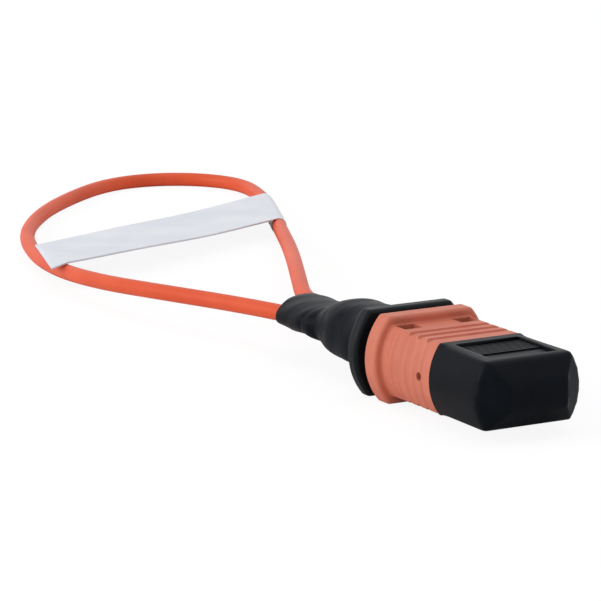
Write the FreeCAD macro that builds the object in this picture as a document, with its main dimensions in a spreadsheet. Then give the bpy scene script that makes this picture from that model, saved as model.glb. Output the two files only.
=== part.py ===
"""Multi-fibre loopback connector: plug, dust cap, boot, shrink tube and cable loop.

Every sub-part is drawn in the connector's own datum: X = 0 is the front edge of the pull
sleeve, +X points to the mating face, and the optical axis is Y = Z = 0.  The placement of
each sub-part then carries it to the part's frame, whose origin is under the middle of the
connector, on the surface it lies on.
"""

import FreeCAD
import Part
import math
import os
import Sketcher

from FreeCAD import Placement, Rotation, Vector

DRIVING = {
    # pull sleeve
    "sleeve_length": 11.5,
    "sleeve_radius": 6.2,
    "sleeve_half_height": 3.8,
    "sleeve_wall": 0.85,
    "rim_length": 2.0,
    "rim_ledge": 0.8,
    "rim_rise": 0.95,
    "rim_round": 0.42,
    "rim_fillet": 0.22,
    "outline_corner": 0.6,
    "groove_radius": 0.5,
    "groove_depth": 0.32,
    "groove_pitch": 1.75,
    "groove_front": 1.95,
    "window_run": 2.0,
    "window_width": 2.2,
    "window_centre": 3.5,
    "side_hole_radius": 0.45,
    "side_hole_back": 2.0,
    "sleeve_travel": 1.5,
    "lug_length": 0.8,
    "lug_back": 2.4,
    "lug_half_height": 0.42,
    # plug housing
    "housing_tail": 0.5,
    "nose_length": 4.0,
    "nose_half_width": 4.8,
    "nose_half_height": 2.6,
    "key_half_width": 1.5,
    "key_height": 0.35,
    "key_length": 3.2,
    "throat_back": 1.5,
    "window_length": 1.2,
    "window_half_width": 1.6,
    # ferrule group
    "ferrule_length": 8.0,
    "ferrule_half_width": 3.2,
    "ferrule_half_height": 1.225,
    "ferrule_reach": 0.6,
    "ferrule_travel": 0.8,
    "collar_length": 1.8,
    "collar_half_width": 3.5,
    "collar_half_height": 1.5,
    "pin_hole_radius": 0.35,
    "pin_pitch": 4.6,
    "fibre_count": 12,
    "fibre_pitch": 0.25,
    "fibre_radius": 0.0625,
    "fibre_hole_radius": 0.09,
    "window_depth": 1.0,
    "cavity_length": 4.6,
    "cavity_half_width": 1.75,
    "cavity_half_height": 0.55,
    "boot_block_length": 3.0,
    "clamp_length": 1.5,
    "ribbon_half_width": 1.55,
    "ribbon_half_height": 0.15,
    # springs
    "spring_half_width": 3.1,
    "spring_half_height": 1.4,
    "spring_wire": 0.2,
    "spring_turns": 4,
    "return_radius": 0.42,
    "return_wire": 0.09,
    "return_turns": 6,
    # spring push and crimp
    "push_nose": 2.0,
    "push_flange": 1.4,
    "push_flange_half_width": 4.6,
    "push_flange_half_height": 2.7,
    "latch_height": 0.5,
    "post_length": 8.0,
    "post_half_width": 2.5,
    "post_half_height": 1.42,
    "post_corner": 1.0,
    "post_wall": 0.3,
    "bore_half_width": 2.1,
    "bore_half_height": 1.02,
    "yarn_wall": 0.15,
    "crimp_wall": 0.3,
    "crimp_length": 4.5,
    # boot
    "boot_gap": 2.0,
    "boot_flange": 1.8,
    "boot_round": 0.5,
    "neck_length": 9.6,
    "neck_radius": 3.5,
    "neck_half_height": 2.75,
    "neck_end_wall": 1.6,
    # shrink tube
    "tube_front": 16.6,
    "barrel_half_width": 4.2,
    "barrel_half_height": 3.5,
    "shoulder_half_width": 3.9,
    "shoulder_half_height": 3.05,
    "waist_half_width": 3.8,
    "waist_half_height": 2.6,
    "fan_half_width": 4.3,
    "fan_half_height": 2.15,
    "tail_half_width": 4.35,
    "tail_half_height": 1.6,
    "neck_step_back": 0.6,
    "shoulder_back": 2.6,
    "waist_back": 4.4,
    "fan_back": 8.1,
    "tail_length": 22.6,
    "tail_twist": 9.0,
    "tail_slant": 0.6,
    "tail_shift": 0.5,
    "tunnel_half_width": 3.85,
    "tunnel_half_height": 1.2,
    # cable loop
    "cable_diameter": 1.9,
    # label
    "label_thickness": 0.12,
    "label_fold": 18.5,
    "label_length": 47.0,
    "label_heading": -62.6,
    "label_high_end": -1.08,
    "label_low_end": -2.05,
    # dust cap
    "cap_length": 9.3,
    "cap_end_radius": 6.35,
    "cap_end_half_height": 3.65,
    "cap_nose": 1.9,
    "cap_nose_half_width": 3.5,
    "cap_nose_half_height": 1.45,
    "cap_depth": 6.2,
    "cap_recess_depth": 0.25,
    "cap_recess_length": 7.0,
    "cap_recess_half_width": 3.9,
    "cap_rib_pitch": 0.45,
    "cap_rib_count": 9,
    # clearances
    "slide_gap": 0.15,
    "seat_gap": 0.05,
    "cable_gap": 0.1,
}

# The middle line of the cable, from the crimp round the loop and back to the crimp.
CABLE_ROUTE = [
    (-20.5, -1.05, 0.0),
    (-28.4, -1.15, -0.1),
    (-37.0, -2.1, -0.35),
    (-46.0, -4.2, -0.6),
    (-57.0, -7.3, -1.0),
    (-69.5, -9.3, -1.8),
    (-83.0, -8.6, -2.7),
    (-97.0, -5.0, -3.5),
    (-111.0, 0.4, -3.8),
    (-123.0, 8.6, -3.8),
    (-131.8, 17.4, -3.8),
    (-138.3, 26.0, -3.8),
    (-139.3, 33.8, -3.8),
    (-135.5, 40.2, -3.8),
    (-128.2, 42.9, -3.75),
    (-117.0, 39.9, -3.62),
    (-104.5, 34.9, -3.6),
    (-91.0, 28.3, -3.1),
    (-78.0, 21.5, -2.0),
    (-65.5, 14.6, -0.9),
    (-53.0, 8.1, 0.0),
    (-42.0, 3.1, 0.4),
    (-30.0, 1.2, 0.15),
    (-20.5, 1.05, 0.0),
]
LABEL_POINT_COUNT = 16  # the route points before the one that the label is folded round


class Size:
    """A length, with the sheet expression that gives it."""

    def __init__(self, value, text):
        self.value = value
        self.text = text

    @staticmethod
    def of(other):
        if isinstance(other, Size):
            return other
        return Size(float(other), f"{float(other)}")

    def __add__(self, other):
        other = Size.of(other)
        return Size(self.value + other.value, f"({self.text} + {other.text})")

    def __sub__(self, other):
        other = Size.of(other)
        return Size(self.value - other.value, f"({self.text} - {other.text})")

    def __mul__(self, other):
        other = Size.of(other)
        return Size(self.value * other.value, f"({self.text} * {other.text})")

    def __truediv__(self, other):
        other = Size.of(other)
        return Size(self.value / other.value, f"({self.text} / {other.text})")

    def __neg__(self):
        return Size(-self.value, f"(0 - {self.text})")

    def __rsub__(self, other):
        return Size.of(other) - self

    __radd__ = __add__
    __rmul__ = __mul__


class Dims:
    """The driving dimensions, each one a Size."""


doc = FreeCAD.newDocument("connector")
sheet = doc.addObject("Spreadsheet::Sheet", "dims")
D = Dims()
for row, (alias, number) in enumerate(DRIVING.items(), start=1):
    sheet.set(f"A{row}", alias)
    sheet.set(f"B{row}", str(number))
    sheet.setAlias(f"B{row}", alias)
    setattr(D, alias, Size(float(number), f"dims.{alias}"))
doc.recompute()

ZERO = Size(0.0, "0")

# ---------------------------------------------------------------- datums and shared fits

front_reach = D.cap_length + D.cap_nose
tail_end = D.tube_front + D.tail_length
rear_reach = tail_end + D.tail_slant * D.tail_half_width
datum_x = (rear_reach - front_reach) / 2
rim_radius = D.sleeve_radius + D.rim_ledge
rim_half_height = D.sleeve_half_height + D.rim_rise
datum_z = rim_half_height

sleeve_bore_radius = D.sleeve_radius - D.sleeve_wall
sleeve_bore_half_height = D.sleeve_half_height - D.sleeve_wall
housing_radius = sleeve_bore_radius - D.slide_gap
housing_half_height = sleeve_bore_half_height - D.slide_gap
housing_rear = -(D.sleeve_length + D.housing_tail)
throat_half_width = D.ferrule_half_width + D.slide_gap
throat_half_height = D.ferrule_half_height + D.slide_gap
chamber_half_width = D.collar_half_width + D.slide_gap
chamber_half_height = D.collar_half_height + D.slide_gap
ferrule_front = D.nose_length + D.ferrule_reach
ferrule_rear = ferrule_front - D.ferrule_length
clamp_rear = ferrule_rear - D.seat_gap - D.clamp_length
push_front = housing_rear + D.push_nose
push_flange_rear = housing_rear - D.seat_gap - D.push_flange
post_rear = push_flange_rear - D.post_length
boot_front = -(D.sleeve_length + D.boot_gap)
boot_flange_rear = boot_front - D.boot_flange
neck_rear = boot_flange_rear - D.neck_length
crimp_half_width = D.post_half_width + D.yarn_wall + D.crimp_wall + 2 * D.seat_gap
crimp_half_height = D.post_half_height + D.yarn_wall + D.crimp_wall + 2 * D.seat_gap
spring_channel = chamber_half_width + 0.45
return_spring_y = spring_channel + D.return_radius + D.return_wire
channel_front = -(D.lug_back - D.slide_gap)
channel_rear = housing_rear + 2.0
lug_rear = -(D.lug_back + D.lug_length)


# ---------------------------------------------------------------- feature helpers


def place(thing):
    """Carries a sub-part from the connector's datum to the part's frame."""
    thing.setExpression("Placement.Base.x", datum_x.text)
    thing.setExpression("Placement.Base.z", datum_z.text)


def new_body(label):
    """An empty body, named and placed."""
    body = doc.addObject("PartDesign::Body", label)
    body.Label = label
    place(body)
    return body


def origin_plane(body, role):
    """The body's own plane or axis of that role."""
    return next(f for f in body.Origin.OriginFeatures if f.Role == role)


def cross_sketch(body, name, x):
    """An empty sketch across the axis at X = x; its own x is Y and its y is Z."""
    sketch = body.newObject("Sketcher::SketchObject", name)
    sketch.AttachmentSupport = (origin_plane(body, "YZ_Plane"), [""])
    sketch.MapMode = "FlatFace"
    sketch.setExpression("AttachmentOffset.Base.z", x.text)
    return sketch


def constrain(sketch, kind, size, *where):
    """A dimension of the sketch, bound to a size."""
    index = sketch.addConstraint(Sketcher.Constraint(kind, *where, size.value))
    sketch.setExpression(f"Constraints[{index}]", size.text)


def oval_sketch(body, name, x, radius, half_height):
    """A circle about the axis, cut flat above and below."""
    sketch = cross_sketch(body, name, x)
    big = radius.value
    high = half_height.value
    turn = math.asin(high / big)
    flat = big * math.cos(turn)
    circle = Part.Circle(Vector(0, 0, 0), Vector(0, 0, 1), big)
    sketch.addGeometry(Part.ArcOfCircle(circle, -turn, turn), False)
    sketch.addGeometry(Part.LineSegment(Vector(flat, high, 0), Vector(-flat, high, 0)), False)
    sketch.addGeometry(Part.ArcOfCircle(circle, math.pi - turn, math.pi + turn), False)
    sketch.addGeometry(Part.LineSegment(Vector(-flat, -high, 0), Vector(flat, -high, 0)), False)
    for first, end, second, start in ((0, 2, 1, 1), (1, 2, 2, 1), (2, 2, 3, 1), (3, 2, 0, 1)):
        sketch.addConstraint(Sketcher.Constraint("Coincident", first, end, second, start))
    for arc in (0, 2):
        sketch.addConstraint(Sketcher.Constraint("Coincident", arc, 3, -1, 1))
        constrain(sketch, "Radius", radius, arc)
    sketch.addConstraint(Sketcher.Constraint("Horizontal", 1))
    sketch.addConstraint(Sketcher.Constraint("Horizontal", 3))
    constrain(sketch, "DistanceY", half_height, -1, 1, 1, 1)
    constrain(sketch, "DistanceY", half_height, 3, 1, -1, 1)
    return sketch


def box_sketch(body, name, x, half_width, half_height):
    """A rectangle about the axis."""
    sketch = cross_sketch(body, name, x)
    wide = half_width.value
    high = half_height.value
    corners = [(wide, -high), (wide, high), (-wide, high), (-wide, -high)]
    for i, start in enumerate(corners):
        end = corners[(i + 1) % 4]
        sketch.addGeometry(Part.LineSegment(Vector(*start, 0), Vector(*end, 0)), False)
    for i in range(4):
        sketch.addConstraint(Sketcher.Constraint("Coincident", i, 2, (i + 1) % 4, 1))
    for side in (0, 2):
        sketch.addConstraint(Sketcher.Constraint("Vertical", side))
        sketch.addConstraint(Sketcher.Constraint("Horizontal", side + 1))
    constrain(sketch, "DistanceX", half_width, -1, 1, 0, 2)
    constrain(sketch, "DistanceX", half_width, 1, 2, -1, 1)
    constrain(sketch, "DistanceY", half_height, -1, 1, 0, 2)
    constrain(sketch, "DistanceY", half_height, 0, 1, -1, 1)
    return sketch


def rounded_sketch(body, name, x, half_width, half_height, corner):
    """A rectangle about the axis with rounded corners."""
    sketch = cross_sketch(body, name, x)
    wide = half_width.value
    high = half_height.value
    r = corner.value
    flats = [((wide, r - high), (wide, high - r)), ((wide - r, high), (r - wide, high)),
             ((-wide, high - r), (-wide, r - high)), ((r - wide, -high), (wide - r, -high))]
    centres = [(wide - r, high - r), (r - wide, high - r), (r - wide, r - high), (wide - r, r - high)]
    for i in range(4):
        start, end = flats[i]
        sketch.addGeometry(Part.LineSegment(Vector(*start, 0), Vector(*end, 0)), False)
        circle = Part.Circle(Vector(*centres[i], 0), Vector(0, 0, 1), r)
        turn = math.pi / 2 * i
        sketch.addGeometry(Part.ArcOfCircle(circle, turn, turn + math.pi / 2), False)
    for i in range(8):
        sketch.addConstraint(Sketcher.Constraint("Tangent", i, 2, (i + 1) % 8, 1))
    for i in range(4):
        sketch.addConstraint(Sketcher.Constraint("Horizontal" if i % 2 else "Vertical", 2 * i))
        constrain(sketch, "Radius", corner, 2 * i + 1)
    constrain(sketch, "DistanceX", half_width, -1, 1, 0, 2)
    constrain(sketch, "DistanceX", half_width, 4, 1, -1, 1)
    constrain(sketch, "DistanceY", half_height, -1, 1, 2, 1)
    constrain(sketch, "DistanceY", half_height, 6, 1, -1, 1)
    return sketch


def pad(body, name, sketch, length):
    """Material from the sketch towards +X."""
    feature = body.newObject("PartDesign::Pad", name)
    feature.Profile = sketch
    feature.setExpression("Length", length.text)
    doc.recompute()
    return feature


def pocket(body, name, sketch, length):
    """A pocket from the sketch towards +X."""
    before = body.Shape.Volume
    feature = body.newObject("PartDesign::Pocket", name)
    feature.Profile = sketch
    feature.Reversed = True
    feature.setExpression("Length", length.text)
    doc.recompute()
    if body.Shape.Volume > before - 1e-6:
        raise RuntimeError(f"{body.Label}: {name} cuts nothing")
    return feature


def prism(body, name, kind, x, y, z):
    """An additive or subtractive box between two Sizes along each axis."""
    feature = body.newObject(f"PartDesign::{kind}Box", name)
    for side, (low, high) in zip(("Length", "Width", "Height"), (x, y, z), strict=True):
        feature.setExpression(side, (Size.of(high) - low).text)
    for axis, (low, _) in zip("xyz", (x, y, z), strict=True):
        feature.setExpression(f"Placement.Base.{axis}", Size.of(low).text)
    doc.recompute()
    return feature


def rod(body, name, kind, radius, start, length, direction="x"):
    """An additive or subtractive cylinder from a start point, along X or Y."""
    feature = body.newObject(f"PartDesign::{kind}Cylinder", name)
    feature.setExpression("Radius", radius.text)
    feature.setExpression("Height", length.text)
    if direction == "x":
        feature.Placement = Placement(Vector(), Rotation(Vector(0, 1, 0), 90))
    else:
        feature.Placement = Placement(Vector(), Rotation(Vector(1, 0, 0), -90))
    for axis, place_at in zip("xyz", start, strict=True):
        feature.setExpression(f"Placement.Base.{axis}", Size.of(place_at).text)
    doc.recompute()
    return feature


def edges_where(shape, test):
    """The names of the edges whose middle point passes the test."""
    names = []
    for number, edge in enumerate(shape.Edges, start=1):
        middle = edge.valueAt((edge.FirstParameter + edge.LastParameter) / 2)
        if test(edge, middle):
            names.append(f"Edge{number}")
    return names


def ease(body, name, kind, size, test):
    """A fillet or chamfer on the tip's edges that pass the test."""
    tip = body.Tip
    names = edges_where(tip.Shape, test)
    if not names:
        raise RuntimeError(f"{body.Label}: {name} finds no edge")
    feature = body.newObject(f"PartDesign::{kind}", name)
    feature.Base = (tip, names)
    feature.setExpression("Radius" if kind == "Fillet" else "Size", size.text)
    doc.recompute()
    if "Invalid" in feature.State:
        raise RuntimeError(f"{body.Label}: {name} fails on {names}")
    return feature


def near(a, b, within=1e-4):
    """Whether two numbers agree."""
    return abs(a - b) < within


def along_x(edge):
    """Whether an edge runs along X."""
    ends = edge.Vertexes
    if len(ends) != 2:
        return False
    run = ends[1].Point - ends[0].Point
    return run.Length > 1e-6 and near(abs(run.x), run.Length, 1e-6)


def own_shape(label, shape):
    """A sub-part whose shape is made directly, named and placed."""
    feature = doc.addObject("Part::Feature", label)
    feature.Label = label
    feature.Shape = shape
    feature.Placement = Placement()
    place(feature)
    return feature


# ---------------------------------------------------------------- pull sleeve


def make_outer_sleeve():
    """The pull sleeve: an oval shell with a rear rim, grip grooves and two spring lugs."""
    body = new_body("outer_sleeve")
    rear = -D.sleeve_length
    rim_front = rear + D.rim_length
    shell = oval_sketch(body, "sleeve_outline", rear, D.sleeve_radius, D.sleeve_half_height)
    pad(body, "sleeve_shell", shell, D.sleeve_length)
    rim = oval_sketch(body, "rim_outline", rear, rim_radius, rim_half_height)
    pad(body, "rim", rim, D.rim_length)
    front_x = rim_front.value
    out = (D.sleeve_radius.value + rim_radius.value) / 2
    step = (D.sleeve_half_height.value + rim_half_height.value) / 2

    def on_rim(middle):
        return abs(middle.z) > step or math.hypot(middle.y, middle.z) > out

    ease(body, "outline_corners", "Fillet", D.outline_corner, lambda e, p: along_x(e))
    ease(body, "rim_round", "Fillet", D.rim_round,
         lambda e, p: near(p.x, front_x) and on_rim(p))
    ease(body, "rim_root", "Fillet", D.rim_fillet,
         lambda e, p: near(p.x, front_x) and not on_rim(p))
    bore = oval_sketch(body, "sleeve_bore_outline", rear, sleeve_bore_radius,
                       sleeve_bore_half_height)
    pocket(body, "sleeve_bore", bore, D.sleeve_length)
    depth = D.groove_radius - D.groove_depth
    for i in range(3):
        x = -(D.groove_front + i * D.groove_pitch)
        for side, z in (("top", D.sleeve_half_height + depth),
                        ("bottom", -(D.sleeve_half_height + depth))):
            rod(body, f"groove_{side}_{i + 1}", "Subtractive", D.groove_radius,
                (x, -rim_radius, z), 2 * rim_radius, "y")
    window_rear = rim_front + D.rim_fillet
    for side, low in (("left", D.window_centre - D.window_width / 2),
                      ("right", -(D.window_centre + D.window_width / 2))):
        prism(body, f"windows_{side}", "Subtractive", (window_rear, window_rear + D.window_run),
              (low, low + D.window_width), (-rim_half_height, rim_half_height))
    rod(body, "side_holes", "Subtractive", D.side_hole_radius,
        (-D.side_hole_back, -rim_radius, ZERO), 2 * rim_radius, "y")
    lug_root = sleeve_bore_radius + D.sleeve_wall / 2
    lug_tip = spring_channel + D.slide_gap
    for side, across in (("left", (lug_tip, lug_root)), ("right", (-lug_root, -lug_tip))):
        prism(body, f"spring_lug_{side}", "Additive", (lug_rear, -D.lug_back), across,
              (-D.lug_half_height, D.lug_half_height))


# ---------------------------------------------------------------- plug housing


def make_inner_housing():
    """The plug housing: guides the ferrule, holds the spring push and the return springs."""
    body = new_body("inner_housing")
    shoulder = Size.of(-1.0)
    nose = box_sketch(body, "nose_outline", shoulder, D.nose_half_width, D.nose_half_height)
    pad(body, "nose", nose, D.nose_length - shoulder)
    ease(body, "nose_corners", "Fillet", D.nose_half_height - 2.0, lambda e, p: along_x(e))
    outline = oval_sketch(body, "housing_outline", housing_rear, housing_radius,
                          housing_half_height)
    pad(body, "housing_barrel", outline, shoulder - housing_rear)
    prism(body, "key", "Additive", (D.slide_gap, D.slide_gap + D.key_length),
          (-D.key_half_width, D.key_half_width),
          (D.nose_half_height - 0.3, D.nose_half_height + D.key_height))
    chamber = box_sketch(body, "chamber_outline", housing_rear, chamber_half_width,
                         chamber_half_height)
    pocket(body, "chamber", chamber, -D.throat_back - housing_rear)
    throat = box_sketch(body, "throat_outline", -D.throat_back, throat_half_width,
                        throat_half_height)
    pocket(body, "throat", throat, D.nose_length + D.throat_back)
    for side, across in (("left", (spring_channel, housing_radius)),
                         ("right", (-housing_radius, -spring_channel))):
        prism(body, f"spring_channel_{side}", "Subtractive", (channel_rear, channel_front),
              across, (-(D.return_radius + D.return_wire + 0.08),
                       D.return_radius + D.return_wire + 0.08))
    window_front = push_front - D.seat_gap
    prism(body, "latch_windows", "Subtractive", (window_front - D.window_length, window_front),
          (-D.window_half_width, D.window_half_width), (-housing_half_height, housing_half_height))
    ease(body, "nose_lead_in", "Chamfer", Size.of(0.25),
         lambda e, p: near(p.x, D.nose_length.value) and abs(p.y) + abs(p.z) > 2.59
         and (abs(p.y) > throat_half_width.value + 0.5
              or abs(p.z) > throat_half_height.value + 0.5))


# ---------------------------------------------------------------- ferrule group


def make_mt_ferrule():
    """The ferrule: guide pin bores, a row of fibre bores, rear cavity and glue window."""
    body = new_body("mt_ferrule")
    block = box_sketch(body, "ferrule_outline", ferrule_rear, D.ferrule_half_width,
                       D.ferrule_half_height)
    pad(body, "ferrule_block", block, D.ferrule_length)
    collar = box_sketch(body, "collar_outline", ferrule_rear, D.collar_half_width,
                        D.collar_half_height)
    pad(body, "collar", collar, D.collar_length)
    ease(body, "long_edges", "Fillet", Size.of(0.15),
         lambda e, p: along_x(e) and (abs(p.y) > 3.0))
    cavity = box_sketch(body, "cavity_outline", ferrule_rear, D.cavity_half_width,
                        D.cavity_half_height)
    pocket(body, "rear_cavity", cavity, D.cavity_length)
    for side, y in (("left", D.pin_pitch / 2), ("right", -D.pin_pitch / 2)):
        rod(body, f"pin_bore_{side}", "Subtractive", D.pin_hole_radius,
            (ferrule_rear, y, ZERO), D.ferrule_length)
    prism(body, "glue_window", "Subtractive", (window_rear, window_rear + D.window_length),
          (-D.window_half_width, D.window_half_width),
          (D.cavity_half_height - 0.1, D.ferrule_half_height))
    first = -(D.fibre_count - 1) * D.fibre_pitch / 2
    bore = rod(body, "fibre_bore", "Subtractive", D.fibre_hole_radius,
               (cavity_front, first, ZERO), ferrule_front - cavity_front)
    row = body.newObject("PartDesign::LinearPattern", "fibre_bores")
    row.Originals = [bore]
    row.Direction = (origin_plane(body, "Y_Axis"), [""])
    row.setExpression("Length", ((D.fibre_count - 1) * D.fibre_pitch).text)
    row.setExpression("Occurrences", D.fibre_count.text)
    body.Tip = row
    doc.recompute()


def make_fibres():
    """The fibre ends in the ferrule's row of bores, ground flush with its face."""
    rods = []
    for i in range(int(D.fibre_count.value)):
        fibre = doc.addObject("Part::Cylinder", f"fibre_{i + 1}")
        fibre.setExpression("Radius", D.fibre_radius.text)
        fibre.setExpression("Height", (ferrule_front - cavity_front - D.seat_gap).text)
        y = (i - (D.fibre_count - 1) / 2) * D.fibre_pitch if i == 0 else (
            Size.of(i) - (D.fibre_count - 1) / 2) * D.fibre_pitch
        fibre.Placement = Placement(Vector(), Rotation(Vector(0, 1, 0), 90))
        fibre.setExpression("Placement.Base.x", (datum_x + cavity_front + D.seat_gap).text)
        fibre.setExpression("Placement.Base.y", y.text)
        fibre.setExpression("Placement.Base.z", datum_z.text)
        rods.append(fibre)
    group = doc.addObject("Part::Compound", "fibres")
    group.Label = "fibres"
    group.Links = rods


def make_window_epoxy():
    """The cured glue that closes the ferrule's window."""
    body = new_body("window_epoxy")
    prism(body, "glue", "Additive",
          (window_rear + D.seat_gap, window_rear + D.window_length - D.seat_gap),
          (D.seat_gap - D.window_half_width, D.window_half_width - D.seat_gap),
          (D.cavity_half_height, D.ferrule_half_height - D.seat_gap))


def make_ferrule_boot():
    """The soft block that guides the ribbon into the ferrule."""
    body = new_body("ferrule_boot")
    half_width = D.cavity_half_width - D.seat_gap
    half_height = D.cavity_half_height - D.seat_gap
    outline = box_sketch(body, "block_outline", boot_block_rear, half_width, half_height)
    pad(body, "block", outline, D.boot_block_length)
    slot = box_sketch(body, "slot_outline", boot_block_rear, D.ribbon_half_width + D.seat_gap,
                      D.ribbon_half_height + D.seat_gap)
    pocket(body, "ribbon_slot", slot, D.boot_block_length)


def make_pin_clamp():
    """The spacer behind the ferrule that spreads the spring's push on its collar."""
    body = new_body("pin_clamp")
    outline = box_sketch(body, "clamp_outline", clamp_rear, D.collar_half_width,
                         D.collar_half_height)
    pad(body, "clamp_block", outline, D.clamp_length)
    slot = box_sketch(body, "clamp_slot", clamp_rear, D.cavity_half_width + D.seat_gap,
                      D.cavity_half_height + D.seat_gap)
    pocket(body, "ribbon_way", slot, D.clamp_length)
    for side, y in (("left", D.pin_pitch / 2), ("right", -D.pin_pitch / 2)):
        rod(body, f"pin_way_{side}", "Subtractive", D.pin_hole_radius,
            (clamp_rear, y, ZERO), D.clamp_length)
    ease(body, "clamp_edges", "Fillet", Size.of(0.15),
         lambda e, p: along_x(e) and abs(p.y) > 3.0)


def make_fibre_ribbon():
    """The bare fibre ribbon between the ferrule and the crimp."""
    body = new_body("fibre_ribbon")
    outline = box_sketch(body, "ribbon_outline", ribbon_rear, D.ribbon_half_width,
                         D.ribbon_half_height)
    pad(body, "ribbon", outline, cavity_front - D.seat_gap - ribbon_rear)


# ---------------------------------------------------------------- springs


def coil(start, end, half_width, half_height, wire, turns, y=0.0):
    """A coil of round wire about a line along X, between two ends that the wire just reaches."""
    steps = 16
    first = start + wire
    last = end - wire
    points = []
    for i in range(steps * turns + 1):
        angle = 2 * math.pi * i / steps
        x = first + (last - first) * i / (steps * turns)
        points.append(Vector(x, y + half_width * math.cos(angle), half_height * math.sin(angle)))
    line = Part.BSplineCurve()
    line.interpolate(points)
    path = Part.Wire([line.toShape()])
    tangent = line.tangent(line.FirstParameter)[0]
    section = Part.Wire([Part.Circle(points[0], tangent, wire).toShape()])
    return path.makePipeShell([section], True, True)


def make_ferrule_spring():
    """The oval spring that holds the ferrule forward."""
    own_shape("ferrule_spring", coil(
        push_front.value + D.seat_gap.value, clamp_rear.value - D.seat_gap.value,
        D.spring_half_width.value - D.spring_wire.value,
        D.spring_half_height.value - D.spring_wire.value,
        D.spring_wire.value, int(D.spring_turns.value)))


def make_return_spring(label, side):
    """One of the two coils that push the sleeve forward."""
    own_shape(label, coil(
        channel_rear.value + D.seat_gap.value, lug_rear.value - D.seat_gap.value,
        D.return_radius.value, D.return_radius.value, D.return_wire.value,
        int(D.return_turns.value), side * return_spring_y.value))


# ---------------------------------------------------------------- rear body and crimp


def make_spring_push():
    """The rear body: holds the spring, latches in the housing and carries the crimp post."""
    body = new_body("spring_push")
    nose = box_sketch(body, "push_outline", housing_rear - D.seat_gap, D.collar_half_width,
                      D.collar_half_height)
    pad(body, "push_nose", nose, D.push_nose + D.seat_gap)
    flange = rounded_sketch(body, "flange_outline", push_flange_rear, D.push_flange_half_width,
                            D.push_flange_half_height, D.post_corner)
    pad(body, "flange", flange, D.push_flange)
    post = rounded_sketch(body, "post_outline", post_rear, D.post_half_width,
                          D.post_half_height, D.post_corner)
    pad(body, "crimp_post", post, D.post_length)
    tooth_front = push_front - 2 * D.seat_gap
    tooth = (tooth_front - D.window_length + 2 * D.seat_gap, tooth_front)
    reach = D.collar_half_height + D.latch_height
    prism(body, "latch_teeth", "Additive", tooth,
          (D.seat_gap - D.window_half_width, D.window_half_width - D.seat_gap), (-reach, reach))
    bore = rounded_sketch(body, "bore_outline", post_rear, D.bore_half_width,
                          D.bore_half_height, D.post_corner - D.post_wall)
    pocket(body, "cable_bore", bore, push_front - post_rear)


def ring_on_post(label, inner_width, inner_height, wall):
    """A flattened ring round the crimp post."""
    body = new_body(label)
    rear = crimp_front - D.crimp_length
    corner = D.post_corner + inner_width - D.post_half_width
    outer = rounded_sketch(body, f"{label}_outline", rear, inner_width + wall,
                           inner_height + wall, corner + wall)
    pad(body, f"{label}_ring", outer, D.crimp_length)
    inner = rounded_sketch(body, f"{label}_inside", rear, inner_width, inner_height, corner)
    pocket(body, f"{label}_bore", inner, D.crimp_length)


def make_strength_yarn():
    """The strength yarn laid round the post, under the crimp."""
    ring_on_post("strength_yarn", D.post_half_width + D.seat_gap,
                 D.post_half_height + D.seat_gap, D.yarn_wall)


def make_crimp_sleeve():
    """The metal sleeve crimped over the yarn."""
    ring_on_post("crimp_sleeve", D.post_half_width + D.yarn_wall + 2 * D.seat_gap,
                 D.post_half_height + D.yarn_wall + 2 * D.seat_gap, D.crimp_wall)


# ---------------------------------------------------------------- boot and shrink tube


def make_boot():
    """The boot: a flange like the sleeve's rim and a hollow neck over the crimp."""
    body = new_body("boot")
    flange = oval_sketch(body, "boot_flange_outline", boot_flange_rear, rim_radius,
                         rim_half_height)
    pad(body, "boot_flange", flange, D.boot_flange)
    ease(body, "boot_flange_corners", "Fillet", D.outline_corner, lambda e, p: along_x(e))
    ease(body, "boot_flange_round", "Fillet", D.boot_round,
         lambda e, p: near(p.x, boot_flange_rear.value) or near(p.x, boot_front.value))
    neck = oval_sketch(body, "neck_outline", neck_rear, D.neck_radius, D.neck_half_height)
    pad(body, "neck", neck, D.neck_length)
    corner = D.post_corner + crimp_half_width + D.cable_gap - D.post_half_width
    hollow = rounded_sketch(body, "neck_hollow", neck_rear + D.neck_end_wall,
                            crimp_half_width + D.cable_gap, crimp_half_height + D.cable_gap,
                            corner)
    pocket(body, "crimp_room", hollow, boot_front - neck_rear - D.neck_end_wall)
    mouth = rounded_sketch(body, "neck_mouth", neck_rear, D.bore_half_width + D.cable_gap,
                           D.bore_half_height + D.cable_gap, D.post_corner)
    pocket(body, "cable_mouth", mouth, D.neck_end_wall)


def oblong(x, half_width, half_height, squareness, twist=0.0, shift=0.0):
    """A closed rounded outline across the axis, turned by twist degrees about it."""
    count = 16
    points = []
    for i in range(count):
        angle = 2 * math.pi * i / count
        c = math.cos(angle)
        s = math.sin(angle)
        y = half_width * math.copysign(abs(c) ** (2 / squareness), c)
        z = half_height * math.copysign(abs(s) ** (2 / squareness), s)
        turn = math.radians(twist)
        points.append(Vector(x, shift + y * math.cos(turn) - z * math.sin(turn),
                             y * math.sin(turn) + z * math.cos(turn)))
    line = Part.BSplineCurve()
    line.interpolate(points, PeriodicFlag=True)
    return Part.Wire([line.toShape()])


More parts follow.
